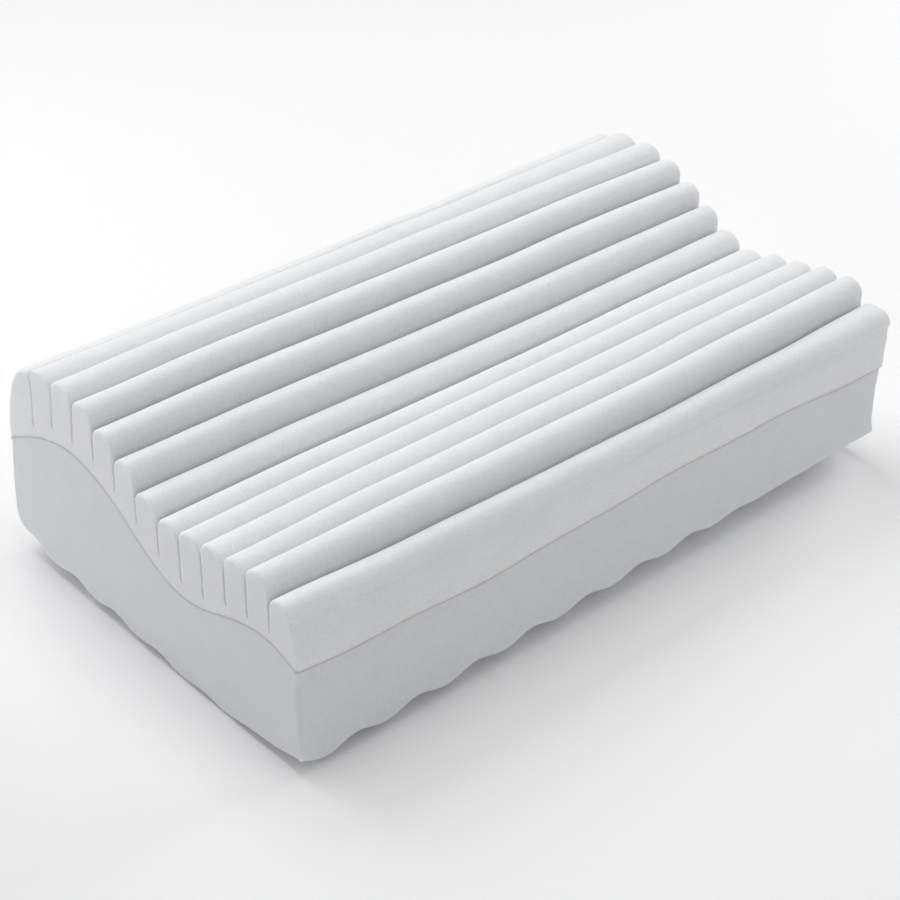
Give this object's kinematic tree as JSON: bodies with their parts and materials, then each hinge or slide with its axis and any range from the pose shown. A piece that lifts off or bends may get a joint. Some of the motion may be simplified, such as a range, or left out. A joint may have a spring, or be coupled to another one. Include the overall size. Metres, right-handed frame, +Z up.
{
  "type": "cervical pillow",
  "caption": "Bare foam neck pillow: a ribbed soft pad glued over a contoured base block, high at the back, dipped for the head and raised again at the front.",
  "frame": {"origin": "on the floor, under the middle of the pillow's outer box", "axes": "+Z up, +X along the ribs, +Y towards the high back edge; the low front edge faces -Y"},
  "size_m": [0.5, 0.3018, 0.1591],
  "materials": {
    "pad_foam": "bare soft white foam, matt, very fine open cells",
    "base_foam": "bare white foam, matt, fine open cells, cut faces"
  },
  "bodies": {
    "root": {"ribbed_pad": "pad_foam", "base_block": "base_foam"}
  },
  "joints": []
}
